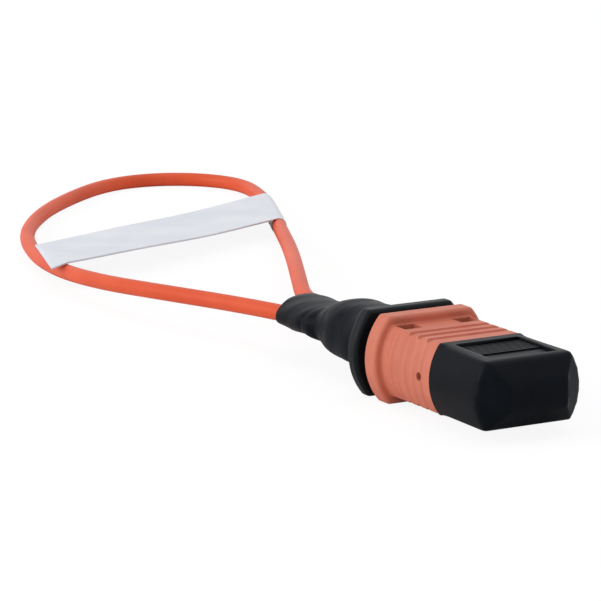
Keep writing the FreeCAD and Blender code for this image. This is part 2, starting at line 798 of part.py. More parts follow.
def make_heat_shrink():
    """The shrink tube: from the boot's neck it narrows, fans out over the two cable legs and
    ends in a slanted cut."""
    front = -D.tube_front.value
    end = front - D.tail_length.value
    twist = D.tail_twist.value
    shift = D.tail_shift.value
    neck_end = neck_rear.value
    spare = D.tail_half_width.value
    past = end - spare
    barrel = (D.barrel_half_width.value, D.barrel_half_height.value)
    shoulder = (D.shoulder_half_width.value, D.shoulder_half_height.value)
    waist = (D.waist_half_width.value, D.waist_half_height.value)
    fan = (D.fan_half_width.value, D.fan_half_height.value)
    tail = (D.tail_half_width.value, D.tail_half_height.value)
    tunnel = (D.tunnel_half_width.value, D.tunnel_half_height.value)
    outer = Part.makeLoft([
        oblong(front, *barrel, 2.6),
        oblong((front + neck_end) / 2, *barrel, 2.6),
        oblong(neck_end - D.neck_step_back.value, *barrel, 2.6),
        oblong(neck_end - D.shoulder_back.value, *shoulder, 2.4),
        oblong(neck_end - D.waist_back.value, *waist, 2.4, twist * 0.2),
        oblong(neck_end - D.fan_back.value, *fan, 2.4, twist * 0.65, shift * 0.3),
        oblong(end, *tail, 2.6, twist, shift),
        oblong(past, *tail, 2.6, twist, shift),
    ], True, False)
    throat = (tunnel[0] * 0.76, tunnel[1])
    inner = Part.makeLoft([
        oblong(neck_end + D.seat_gap.value, *throat, 4.0),
        oblong(neck_end - D.waist_back.value, *throat, 4.0, twist * 0.2),
        oblong(neck_end - D.fan_back.value, tunnel[0] * 0.85, tunnel[1], 4.0, twist * 0.65,
               shift * 0.3),
        oblong(end, *tunnel, 4.0, twist, shift),
        oblong(past - spare / 2, *tunnel, 4.0, twist, shift),
    ], True, True)
    gap = D.seat_gap.value
    radius = D.neck_radius.value + gap
    high = D.neck_half_height.value + gap
    length = front - neck_end + spare
    seat = Part.makeCylinder(radius, length, Vector(neck_end - gap, 0, 0), Vector(1, 0, 0))
    slab = Part.makeBox(length, 2 * radius, 2 * high, Vector(neck_end - gap, -radius, -high))
    seat = seat.common(slab)
    slant = math.degrees(math.atan(D.tail_slant.value))
    side = 4 * spare
    waste = Part.makeBox(side, 2 * side, side, Vector(-side, -side, -side / 2))
    waste.Placement = Placement(Vector(end, shift, 0), Rotation(Vector(0, 0, 1), slant))
    own_shape("heat_shrink", outer.cut(seat).cut(inner).cut(waste))


# ---------------------------------------------------------------- cable and label


def cable_edges():
    """The cable's middle line: straight runs joined by tangent arcs."""
    points = [Vector(*p) for p in CABLE_ROUTE]
    edges = []
    arcs = {}
    start = points[0]
    radii = []
    for i in range(1, len(points) - 1):
        into = points[i] - points[i - 1]
        out = points[i + 1] - points[i]
        turn = into.getAngle(out)
        reach = 0.45 * min(into.Length, out.Length)
        radii.append(reach / math.tan(turn / 2))
        before = points[i] - into * (reach / into.Length)
        after = points[i] + out * (reach / out.Length)
        away = (after - points[i]) + (before - points[i])
        to_centre = math.hypot(radii[-1], reach)
        middle = points[i] + away * ((to_centre - radii[-1]) / away.Length)
        edges.append(Part.LineSegment(start, before).toShape())
        arcs[i] = len(edges)
        edges.append(Part.Arc(before, middle, after).toShape())
        start = after
    edges.append(Part.LineSegment(start, points[-1]).toShape())
    return edges, arcs, radii


def tube_along(edges, radius):
    """A round bar along joined edges."""
    path = Part.Wire(edges)
    start = edges[0].valueAt(edges[0].FirstParameter)
    tangent = edges[0].tangentAt(edges[0].FirstParameter)
    section = Part.Wire([Part.Circle(start, tangent, radius).toShape()])
    return path.makePipeShell([section], True, False)


def make_cable_loop():
    """The cable: one length that leaves the shrink tube, lies in a loop and goes back in."""
    edges, _, radii = cable_edges()
    radius = D.cable_diameter.value / 2
    tube = tube_along(edges, radius)
    length = sum(e.Length for e in edges)
    share = tube.Volume / (math.pi * radius ** 2 * length)
    print("cable radii mm:", " ".join(f"{r:.1f}" for r in radii))
    print(f"cable length {length:.1f} mm, volume over section times length {share:.4f}")
    if abs(share - 1) > 0.01:
        raise RuntimeError("the cable's volume isn't its section times its length")
    own_shape("cable_loop", tube)


def make_label_flag():
    """The label: a strip folded round the far leg of the loop, its flag across to the near leg."""
    edges, arcs, _ = cable_edges()
    at = arcs[LABEL_POINT_COUNT]
    seat = D.cable_diameter.value / 2 + D.seat_gap.value
    thick = D.label_thickness.value
    bend = edges[at]
    middle = bend.valueAt((bend.FirstParameter + bend.LastParameter) / 2)
    leg = bend.tangentAt((bend.FirstParameter + bend.LastParameter) / 2)
    leg = Vector(leg.x, leg.y, 0).normalize()
    near_side = Vector(leg.y, -leg.x, 0)
    length = D.label_fold.value
    fold = edges[at - 2:at + 3]
    core = tube_along(fold, seat)
    room = Part.makeBox(length, 4 * seat, 4 * seat, Vector(-length / 2, -2 * seat, -2 * seat))
    room.Placement = Placement(middle, Rotation(Vector(1, 0, 0), leg))
    wrap = tube_along(fold, seat + thick).cut(core).common(room)
    heading = math.radians(D.label_heading.value)
    run = Vector(math.cos(heading), math.sin(heading), 0) * D.label_length.value
    foot = middle + near_side * (seat + thick / 2)
    foot.z = middle.z - thick / 2
    high = foot + leg * (length / 2)
    low = foot - leg * (length / 2)
    high_end = high + run
    high_end.z = D.label_high_end.value
    low_end = low + run
    low_end.z = D.label_low_end.value
    sheet_face = Part.makeRuledSurface(Part.makeLine(low, high), Part.makeLine(low_end, high_end))
    flag = sheet_face.extrude(Vector(0, 0, thick))
    own_shape("label_flag", flag.cut(core).fuse(wrap))


# ---------------------------------------------------------------- dust cap


def make_dust_cap():
    """The push-on cap: an oval block with a blunt nose, ribbed on top, over the housing nose."""
    body = new_body("dust_cap")
    rear = D.seat_gap
    start = oval_sketch(body, "cap_rear_outline", rear, D.sleeve_radius, D.sleeve_half_height)
    end = oval_sketch(body, "cap_end_outline", D.cap_length, D.cap_end_radius,
                      D.cap_end_half_height)
    block = body.newObject("PartDesign::AdditiveLoft", "cap_block")
    block.Profile = start
    block.Sections = [end]
    block.Ruled = True
    nose_base = oval_sketch(body, "nose_base_outline", D.cap_length, D.cap_end_radius,
                            D.cap_end_half_height)
    nose_face = box_sketch(body, "nose_face_outline", front_reach, D.cap_nose_half_width,
                           D.cap_nose_half_height)
    nose = body.newObject("PartDesign::AdditiveLoft", "cap_nose")
    nose.Profile = nose_base
    nose.Sections = [nose_face]
    nose.Ruled = True
    doc.recompute()
    inner = box_sketch(body, "cap_hollow_outline", rear, D.nose_half_width + D.slide_gap,
                       D.nose_half_height + D.slide_gap)
    pocket(body, "cap_hollow", inner, D.cap_depth - rear)
    key_half = D.key_half_width + D.slide_gap
    prism(body, "key_slot", "Subtractive", (rear, D.key_length + 4 * D.slide_gap),
          (-key_half, key_half),
          (D.nose_half_height, D.nose_half_height + D.key_height + D.slide_gap))
    recess_front = D.cap_length - 0.9
    recess_rear = recess_front - D.cap_recess_length
    floor = D.cap_end_half_height - D.cap_recess_depth
    prism(body, "top_recess", "Subtractive", (recess_rear, recess_front),
          (-D.cap_recess_half_width, D.cap_recess_half_width), (floor, rim_half_height))
    for i in range(int(D.cap_rib_count.value)):
        rib_rear = recess_rear + (i + 1) * D.cap_rib_pitch
        prism(body, f"rib_{i + 1}", "Additive", (rib_rear, rib_rear + D.cap_rib_pitch / 2),
              (-D.cap_recess_half_width, D.cap_recess_half_width),
              (floor - 0.1, floor + 0.6 * D.cap_recess_depth))


# ---------------------------------------------------------------- build

window_rear = ferrule_rear + D.collar_length + 1.0
cavity_front = ferrule_rear + D.cavity_length
boot_block_rear = ferrule_rear - D.boot_block_length / 2
ribbon_rear = post_rear + 3.2

crimp_front = push_flange_rear - 2.0

make_outer_sleeve()
make_inner_housing()
make_mt_ferrule()
make_fibres()
make_window_epoxy()
make_ferrule_boot()
make_pin_clamp()
make_fibre_ribbon()
make_ferrule_spring()
make_return_spring("return_spring_left", 1)
make_return_spring("return_spring_right", -1)
make_spring_push()
make_strength_yarn()
make_crimp_sleeve()
make_boot()
make_heat_shrink()
make_cable_loop()
make_label_flag()
make_dust_cap()
doc.recompute()

NODES = [
    "outer_sleeve", "inner_housing", "mt_ferrule", "fibres", "window_epoxy", "ferrule_boot",
    "pin_clamp", "fibre_ribbon", "ferrule_spring", "return_spring_left", "return_spring_right",
    "spring_push", "strength_yarn", "crimp_sleeve", "boot", "heat_shrink", "cable_loop",
    "label_flag", "dust_cap",
]

for thing in doc.Objects:
    if "Invalid" in thing.State or "Error" in thing.State:
        raise RuntimeError(f"{thing.Label} failed: {thing.State}")
os.makedirs("parts", exist_ok=True)
for label in NODES:
    thing = doc.getObjectsByLabel(label)[0]
    if thing.Shape.isNull() or not thing.Shape.isValid() or not thing.Shape.Solids:
        raise RuntimeError(f"{label} has no valid shape")
    thing.Shape.exportStep(f"parts/{label}.step")
    box = thing.Shape.BoundBox
    print(f"{label}: {len(thing.Shape.Solids)} solids, {thing.Shape.Volume:.2f} mm3, "
          f"x {box.XMin:.2f} {box.XMax:.2f} y {box.YMin:.2f} {box.YMax:.2f} "
          f"z {box.ZMin:.2f} {box.ZMax:.2f}")
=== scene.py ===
"""Looks of a multi-fibre loopback connector: plug, dust cap, boot, shrink tube, cable and label.

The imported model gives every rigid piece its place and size.  This file dresses those pieces,
and adds the soft and shrunk ones: the tube over the cable's ends, the cable and its label.
"""

import logging
import math
from dataclasses import dataclass
from enum import Enum
from typing import Any, ClassVar

import bmesh
import bpy
import numpy as np
from mathutils import Matrix, Vector


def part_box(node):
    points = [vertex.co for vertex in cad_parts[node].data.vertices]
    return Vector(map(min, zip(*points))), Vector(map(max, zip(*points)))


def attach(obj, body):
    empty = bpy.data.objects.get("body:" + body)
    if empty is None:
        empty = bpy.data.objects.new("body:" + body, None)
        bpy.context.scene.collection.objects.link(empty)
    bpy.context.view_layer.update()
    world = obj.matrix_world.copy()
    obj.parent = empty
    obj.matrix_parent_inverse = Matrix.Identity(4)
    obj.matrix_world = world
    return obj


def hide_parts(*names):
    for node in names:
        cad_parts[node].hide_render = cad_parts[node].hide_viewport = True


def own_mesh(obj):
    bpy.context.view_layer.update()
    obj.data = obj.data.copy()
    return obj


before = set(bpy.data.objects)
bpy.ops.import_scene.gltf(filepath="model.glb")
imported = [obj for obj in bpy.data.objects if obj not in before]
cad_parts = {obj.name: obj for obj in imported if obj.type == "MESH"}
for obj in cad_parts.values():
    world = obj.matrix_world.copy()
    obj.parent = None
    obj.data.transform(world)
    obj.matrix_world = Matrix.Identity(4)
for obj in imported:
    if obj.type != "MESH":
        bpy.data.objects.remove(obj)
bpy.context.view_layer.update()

LOG = logging.getLogger("connector")
MM = 0.001
WHITE = (1.0, 1.0, 1.0, 1.0)
TINY = 1e-12
# Between these noise values one colour of a finish passes into the other.
BLEND = (0.3, 0.7)

# The connector's datum, at the front edge of the pull sleeve on the optical axis.
DATUM = Vector((15.305, 0.0, 4.75)) * MM

Array = np.ndarray
Colour = tuple[float, float, float]


def at(x: float, y: float, z: float) -> Vector:
    """A point given in millimetres from the connector's datum, in metres in the frame."""
    return DATUM + Vector((x, y, z)) * MM


# ---------------------------------------------------------------- shader maths


def add_node(tree: bpy.types.NodeTree, kind: str, settings: dict[str, Any] | None = None,
             inputs: dict[Any, Any] | None = None) -> bpy.types.Node:
    """Adds a node to a material's or world's tree.

    Args:
        tree: the tree that gets it.
        kind: the node's type.
        settings: its properties.
        inputs: values or links by socket name or number.

    Returns:
        The new node.
    """
    node = tree.nodes.new(kind)
    for key, value in (settings or {}).items():
        setattr(node, key, value)
    for key, value in (inputs or {}).items():
        feed(tree, node.inputs[key], value)
    return node


def feed(tree: bpy.types.NodeTree, socket: bpy.types.NodeSocket, value: Any) -> None:
    """Links a socket to an output, or sets its value.

    Args:
        tree: the tree that holds the socket.
        socket: the input.
        value: a Socket, a node's output or a plain value.
    """
    if isinstance(value, Socket):
        tree.links.new(value.out, socket)
    elif isinstance(value, bpy.types.NodeSocket):
        tree.links.new(value, socket)
    else:
        socket.default_value = value


class Material:
    """One procedural material, built on a Principled shader."""

    def __init__(self, name: str) -> None:
        """Makes the material and its Object coordinates, in millimetres.

        Args:
            name: the material's name.
        """
        self.data = bpy.data.materials.new(name)
        self.data.use_nodes = True
        self.tree = self.data.node_tree
        self.shader = self.tree.nodes["Principled BSDF"]
        coordinates = self.node("ShaderNodeTexCoord")
        place = self.node("ShaderNodeVectorMath", {"operation": "SCALE"},
                          {"Vector": coordinates.outputs["Object"], "Scale": 1 / MM})
        self.place = Socket(self, place.outputs["Vector"])

    def node(self, kind: str, settings: dict[str, Any] | None = None,
             inputs: dict[Any, Any] | None = None) -> bpy.types.Node:
        """Adds a node to the material, as add_node does."""
        return add_node(self.tree, kind, settings, inputs)

    def set(self, name: str, value: Any) -> None:
        """Sets or links one socket of the shader."""
        feed(self.tree, self.shader.inputs[name], value)

    def noise(self, scale: float, detail: float = 3.0, roughness: float = 0.5,
              stretch: tuple[float, float, float] = (1.0, 1.0, 1.0)) -> "Socket":
        """Noise over the piece.

        Args:
            scale: how many features a millimetre holds.
            detail: the noise's octaves.
            roughness: how strong the fine octaves are.
            stretch: a factor on each coordinate.

        Returns:
            A value from 0 to 1.
        """
        place = self.node("ShaderNodeVectorMath", {"operation": "MULTIPLY"},
                          {0: self.place, 1: stretch})
        noise = self.node("ShaderNodeTexNoise", None,
                          {"Vector": place.outputs["Vector"], "Scale": scale, "Detail": detail,
                           "Roughness": roughness})
        return Socket(self, noise.outputs["Fac"])

    def axis(self, name: str) -> "Socket":
        """One coordinate of the piece, in millimetres."""
        parts = self.node("ShaderNodeSeparateXYZ", None, {"Vector": self.place})
        return Socket(self, parts.outputs[name])

    def mix(self, share: "Socket", first: Colour, second: Colour) -> "Socket":
        """A colour between two, by a share from 0 to 1."""
        mixer = self.node("ShaderNodeMix", {"data_type": "RGBA"},
                          {"Factor": share, "A": (*first, 1.0), "B": (*second, 1.0)})
        return Socket(self, mixer.outputs["Result"])

    def bump(self, height: "Socket", depth: float) -> None:
        """Turns a height from 0 to 1 into relief, depth millimetres deep."""
        bump = self.node("ShaderNodeBump", None, {"Strength": 1.0, "Distance": depth * MM,
                                                  "Height": height})
        self.set("Normal", bump.outputs["Normal"])


class Socket:
    """A value in a material's maths; operators add Math nodes."""

    def __init__(self, material: Material, out: bpy.types.NodeSocket) -> None:
        """Wraps a node's output.

        Args:
            material: the material that holds the node.
            out: the output socket.
        """
        self.material = material
        self.out = out

    def maths(self, operation: str, *values: Any) -> "Socket":
        """A Math node's result on this value and others.

        Args:
            operation: the node's operation.
            values: its other inputs.

        Returns:
            The result.
        """
        node = self.material.node("ShaderNodeMath", {"operation": operation},
                                  dict(enumerate((self, *values))))
        return Socket(self.material, node.outputs["Value"])

    def __add__(self, other: Any) -> "Socket":
        """self + other."""
        return self.maths("ADD", other)

    __radd__ = __add__

    def __mul__(self, other: Any) -> "Socket":
        """self * other."""
        return self.maths("MULTIPLY", other)

    __rmul__ = __mul__

    def __sub__(self, other: Any) -> "Socket":
        """self - other."""
        return self.maths("SUBTRACT", other)

    def __rsub__(self, other: float) -> "Socket":
        """other - self."""
        return (self * -1.0) + other

    def sine(self) -> "Socket":
        """The sine of the value."""
        return self.maths("SINE")

    def absolute(self) -> "Socket":
        """The value without its sign."""
        return self.maths("ABSOLUTE")

    def step(self, low: float, high: float) -> "Socket":
        """Rises smoothly from 0 at low to 1 at high."""
        node = self.material.node("ShaderNodeMapRange", {"interpolation_type": "SMOOTHSTEP"},
                                  {"Value": self, "From Min": low, "From Max": high})
        return Socket(self.material, node.outputs["Result"])


def linear_channel(value: int) -> float:
    """One channel of a screen colour, 0 to 255, as a scene-linear value by the sRGB curve."""
    share = value / 255
    return share / 12.92 if share <= 0.04045 else ((share + 0.055) / 1.055) ** 2.4


def linear(red: int, green: int, blue: int) -> Colour:
    """A screen colour of 0 to 255 a channel as scene-linear values."""
    return linear_channel(red), linear_channel(green), linear_channel(blue)


def toned(colour: Colour, factor: float) -> Colour:
    """A colour made darker or paler by a factor, up to white."""
    red, green, blue = (min(1.0, factor * channel) for channel in colour)
    return red, green, blue


# ---------------------------------------------------------------- finishes


@dataclass(frozen=True)
class Moulded:
    """Moulded plastic: an even colour with faint flow mottle and a spark-eroded grain."""

    name: str
    colour: Colour
    shade: Colour
    roughness: float = 0.42
    grain: float = 0.006
    grain_scale: float = 9.0
    ribs: bool = False
    rib_depth: float = 0.2
    specular: float = 0.5
    mottle_scale: ClassVar[float] = 0.35
    grain_sheen: ClassVar[float] = 0.12
    mottle_sheen: ClassVar[float] = 0.06
    rib_pitch: ClassVar[float] = 1.62
    rib_power: ClassVar[float] = 0.6
    round_side: ClassVar[tuple[float, float]] = (4.5, 5.5)
    rib_start: ClassVar[tuple[float, float]] = (7.0, 7.8)
    rib_end: ClassVar[tuple[float, float]] = (13.4, 14.2)

    def make(self) -> bpy.types.Material:
        """Builds the material.

        Returns:
            The Blender material.
        """
        material = Material(self.name)
        material.set("Specular IOR Level", self.specular)
        mottle = material.noise(self.mottle_scale, detail=4.0, roughness=0.55)
        material.set("Base Color", material.mix(mottle.step(*BLEND), self.colour, self.shade))
        fine = material.noise(self.grain_scale, detail=2.0, roughness=0.6)
        material.set("Roughness", (fine - 0.5) * self.grain_sheen
                     + (mottle - 0.5) * self.mottle_sheen + self.roughness)
        if self.ribs:
            material.bump(self.side_ribs(material) + fine * (self.grain / self.rib_depth),
                          self.rib_depth)
        else:
            material.bump(fine, self.grain)
        return material.data

    @classmethod
    def side_ribs(cls, material: Material) -> Socket:
        """Shallow grip ridges across the axis, on the rounded sides of the sleeve only.

        The height is a sine along the axis with its valleys narrowed, faded in over the round
        of the side and out at the rim and near the front edge.

        Args:
            material: the material that gets them.

        Returns:
            Their height, from 0 to 1.
        """
        x = material.axis("X")
        side = material.axis("Y").absolute().step(*cls.round_side)
        span = x.step(*cls.rib_start) * (1.0 - x.step(*cls.rib_end))
        wave = (x * (2 * math.pi / cls.rib_pitch)).sine() * 0.5 + 0.5
        return wave.maths("POWER", cls.rib_power) * side * span


@dataclass(frozen=True)
class ShrunkRubber:
    """Black shrink tubing: slightly uneven sheen, shallow creases and dusty fine grain."""

    name: str
    colour: Colour
    dust: Colour
    roughness: float = 0.38
    specular: float = 0.05
    patch_scale: float = 0.28
    patch_sheen: float = 0.14
    patch_blend: tuple[float, float] = (0.35, 0.75)
    crease_scale: float = 0.75
    crease_share: float = 0.85
    fine_scale: float = 7.0
    relief: float = 0.12

    def make(self) -> bpy.types.Material:
        """Builds the material.

        Returns:
            The Blender material.
        """
        material = Material(self.name)
        material.set("Specular IOR Level", self.specular)
        patches = material.noise(self.patch_scale, detail=5.0, roughness=0.6)
        material.set("Base Color", material.mix(patches.step(*self.patch_blend), self.colour,
                                                self.dust))
        creases = material.noise(self.crease_scale, stretch=(1.0, 0.35, 0.35))
        fine = material.noise(self.fine_scale, roughness=0.6)
        material.set("Roughness", (patches - 0.5) * self.patch_sheen + self.roughness)
        material.bump(creases * self.crease_share + fine * (1.0 - self.crease_share), self.relief)
        return material.data


@dataclass(frozen=True)
class Jacket:
    """The cable's jacket: smooth extruded plastic with faint draw lines and handling marks."""

    name: str
    colour: Colour
    shade: Colour
    roughness: float = 0.46
    specular: float = 0.25
    broad_scale: float = 0.12
    fine_scale: float = 5.0
    sheen: float = 0.1
    relief: float = 0.008

    def make(self) -> bpy.types.Material:
        """Builds the material.

        Returns:
            The Blender material.
        """
        material = Material(self.name)
        material.set("Specular IOR Level", self.specular)
        broad = material.noise(self.broad_scale)
        material.set("Base Color", material.mix(broad.step(*BLEND), self.colour, self.shade))
        fine = material.noise(self.fine_scale, roughness=0.6)
        material.set("Roughness", (fine - 0.5) * self.sheen + self.roughness)
        material.bump(fine, self.relief)
        return material.data


@dataclass(frozen=True)
class Film:
    """The label's film: cool white with a satin top coat and a barely wavy surface."""

    name: str
    colour: Colour
    shade: Colour
    roughness: float = 0.4
    cloud_scale: float = 0.14
    cloud_share: float = 0.8
    fibre_scale: float = 4.0
    sheen: float = 0.12
    relief: float = 0.03

    def make(self) -> bpy.types.Material:
        """Builds the material.

        Returns:
            The Blender material.
        """
        material = Material(self.name)
        clouds = material.noise(self.cloud_scale)
        material.set("Base Color", material.mix(clouds.step(*BLEND), self.colour, self.shade))
        fibre = material.noise(self.fibre_scale, detail=4.0, roughness=0.65)
        material.set("Roughness", (fibre - 0.5) * self.sheen + self.roughness)
        material.bump(fibre * (1.0 - self.cloud_share) + clouds * self.cloud_share, self.relief)
        return material.data


@dataclass(frozen=True)
class Metal:
    """Drawn or plated metal with lines along one direction."""

    name: str
    colour: Colour
    roughness: float = 0.3
    line_scale: float = 3.0
    darker: float = 0.72
    sheen: float = 0.16
    relief: float = 0.004

    def make(self) -> bpy.types.Material:
        """Builds the material.

        Returns:
            The Blender material.
        """
        material = Material(self.name)
        material.set("Metallic", 1.0)
        lines = material.noise(self.line_scale, roughness=0.6, stretch=(0.3, 3.0, 3.0))
        darker = toned(self.colour, self.darker)
        material.set("Base Color", material.mix(lines.step(*BLEND), self.colour, darker))
        material.set("Roughness", (lines - 0.5) * self.sheen + self.roughness)
        material.bump(lines, self.relief)
        return material.data


@dataclass(frozen=True)
class Yarn:
    """Aramid yarn: yellow strands laid along the axis."""

    name: str
    colour: Colour
    roughness: float = 0.6
    strand_scale: float = 6.0
    strand_blend: tuple[float, float] = (0.35, 0.65)
    paler: float = 1.5
    sheen: float = 0.2
    relief: float = 0.05

    def make(self) -> bpy.types.Material:
        """Builds the material.

        Returns:
            The Blender material.
        """
        material = Material(self.name)
        strands = material.noise(self.strand_scale, detail=4.0, roughness=0.7,
                                 stretch=(0.08, 1.0, 1.0))
        pale = toned(self.colour, self.paler)
        material.set("Base Color", material.mix(strands.step(*self.strand_blend), self.colour,
                                                pale))
        material.set("Roughness", (strands - 0.5) * self.sheen + self.roughness)
        material.bump(strands, self.relief)
        return material.data


@dataclass(frozen=True)
class Glassy:
    """Clear or amber cast material, such as cured glue and polished fibre ends."""

    name: str
    colour: Colour
    roughness: float = 0.12
    depth_scale: float = 1.6
    deeper: float = 0.6
    sheen: float = 0.1
    coat: float = 0.6

    def make(self) -> bpy.types.Material:
        """Builds the material.

        Returns:
            The Blender material.
        """
        material = Material(self.name)
        depth = material.noise(self.depth_scale)
        deep = toned(self.colour, self.deeper)
        material.set("Base Color", material.mix(depth.step(*BLEND), self.colour, deep))
        material.set("Roughness", depth * self.sheen + self.roughness)
        material.set("Coat Weight", self.coat)
        return material.data


class Finish(Enum):
    """Every finish on the connector."""

    SLEEVE = Moulded("sleeve_plastic", linear(216, 124, 100), linear(209, 116, 92),
                     roughness=0.5, ribs=True, specular=0.3)
    HOUSING = Moulded("housing_plastic", linear(22, 23, 27), linear(16, 17, 20), specular=0.25)
    FERRULE = Moulded("ferrule_plastic", linear(36, 37, 41), linear(30, 31, 34),
                      roughness=0.36, grain=0.003, grain_scale=16.0)
    REAR = Moulded("clamp_plastic", linear(32, 33, 37), linear(26, 27, 31), roughness=0.45)
    BOOT = Moulded("boot_plastic", linear(19, 25, 29), linear(13, 18, 22),
                   roughness=0.4, grain=0.01, grain_scale=6.0, specular=0.12)
    CAP = Moulded("cap_plastic", linear(17, 21, 27), linear(12, 16, 21),
                  roughness=0.36, grain=0.008, grain_scale=7.0, specular=0.05)
    RUBBER = Moulded("soft_rubber", linear(38, 38, 40), linear(30, 30, 32),
                     roughness=0.6, grain=0.01, grain_scale=6.0)
    RIBBON = Moulded("ribbon_coating", linear(120, 170, 200), linear(96, 150, 190),
                     roughness=0.3, grain=0.003)
    SHRINK = ShrunkRubber("shrink_tube", linear(15, 18, 24), linear(23, 27, 35))
    JACKET = Jacket("cable_jacket", linear(236, 95, 56), linear(227, 85, 46))
    LABEL = Film("label_film", linear(238, 241, 248), linear(228, 232, 243))
    STEEL = Metal("spring_steel", linear(190, 192, 196))
    CRIMP = Metal("crimp_metal", linear(205, 198, 178), roughness=0.34)
    YARN = Yarn("aramid_yarn", linear(205, 170, 70))
    GLUE = Glassy("window_glue", linear(190, 140, 60))
    GLASS = Glassy("fibre_glass", linear(225, 232, 240), roughness=0.06)


CAD_FINISH: dict[str, Finish] = {
    "outer_sleeve": Finish.SLEEVE,
    "inner_housing": Finish.HOUSING,
    "mt_ferrule": Finish.FERRULE,
    "fibres": Finish.GLASS,
    "window_epoxy": Finish.GLUE,
    "ferrule_boot": Finish.RUBBER,
    "pin_clamp": Finish.REAR,
    "fibre_ribbon": Finish.RIBBON,
    "spring_push": Finish.REAR,
    "strength_yarn": Finish.YARN,
    "crimp_sleeve": Finish.CRIMP,
    "boot": Finish.BOOT,
}


class Wardrobe:
    """Makes each finish once and puts it on pieces."""

    def __init__(self) -> None:
        """Starts with no material made."""
        self.made: dict[Finish, bpy.types.Material] = {}

    def wear(self, piece: bpy.types.Object, finish: Finish) -> None:
        """Gives a piece its finish as its only material.

        Args:
            piece: the object to dress.
            finish: what it is made of.
        """
        if finish not in self.made:
            self.made[finish] = finish.value.make()
        piece.data.materials.clear()
        piece.data.materials.append(self.made[finish])


# ---------------------------------------------------------------- surfaces


def new_object(name: str, data: bpy.types.ID) -> bpy.types.Object:
    """Links a new object at the origin.

    Args:
        name: the object's name.
        data: its mesh, curve, lamp or camera.

    Returns:
        The object.
    """
    piece = bpy.data.objects.new(name, data)
    bpy.context.scene.collection.objects.link(piece)
    return piece


def grid_mesh(name: str, points: Array, wrap_u: bool = False, wrap_v: bool = True,
              ends: bool = False) -> bpy.types.Mesh:
    """A mesh of quads over a grid of points.

    Args:
        name: the mesh's name.
        points: an array of rows, columns and coordinates, in metres.
        wrap_u: whether the last row joins the first.
        wrap_v: whether the last column joins the first.
        ends: whether the first and last rows are closed by a face.

    Returns:
        The mesh, shaded smooth.
    """
    rows, columns = points.shape[:2]
    u = np.arange(rows if wrap_u else rows - 1)
    v = np.arange(columns if wrap_v else columns - 1)
    a = (u[:, None] * columns + v[None, :]).ravel()
    b = (u[:, None] * columns + (v[None, :] + 1) % columns).ravel()
    c = (((u[:, None] + 1) % rows) * columns + (v[None, :] + 1) % columns).ravel()
    d = (((u[:, None] + 1) % rows) * columns + v[None, :]).ravel()
    faces = np.stack([a, b, c, d], 1).tolist()
    if ends:
        ring = np.arange(columns)
        faces += [ring[::-1].tolist(), (ring + (rows - 1) * columns).tolist()]
    mesh = bpy.data.meshes.new(name)
    mesh.from_pydata(points.reshape(-1, 3).tolist(), [], faces)
    mesh.polygons.foreach_set("use_smooth", np.ones(len(mesh.polygons), bool))
    mesh.update()
    return mesh


def ramp(x: Array, start: float, end: float) -> Array:
    """Rises evenly from 0 at start to 1 at end."""
    return np.clip((x - start) / (end - start), 0, 1)


def smooth_between(stations: Array, values: Array, x: Array) -> Array:
    """Carries a table of values smoothly between stations.

    The curve between two stations is a cubic whose slopes there are those of the neighbouring
    chords, limited so that it doesn't overshoot.

    Args:
        stations: rising places.
        values: one value at each.
        x: where the curve is wanted.

    Returns:
        The value at each x.
    """
    chord = np.diff(values) / np.diff(stations)
    slope = np.zeros_like(values)
    same = chord[1:] * chord[:-1] > 0
    both = chord[1:] + chord[:-1] + TINY
    slope[1:-1] = np.where(same, 2 * chord[1:] * chord[:-1] / both, 0)
    i = np.clip(np.searchsorted(stations, x) - 1, 0, len(stations) - 2)
    width = stations[i + 1] - stations[i]
    t = np.clip((x - stations[i]) / width, 0, 1)
    return ((2 * t**3 - 3 * t**2 + 1) * values[i] + (t**3 - 2 * t**2 + t) * width * slope[i]
            + (3 * t**2 - 2 * t**3) * values[i + 1] + (t**3 - t**2) * width * slope[i + 1])


# ---------------------------------------------------------------- shrink tube


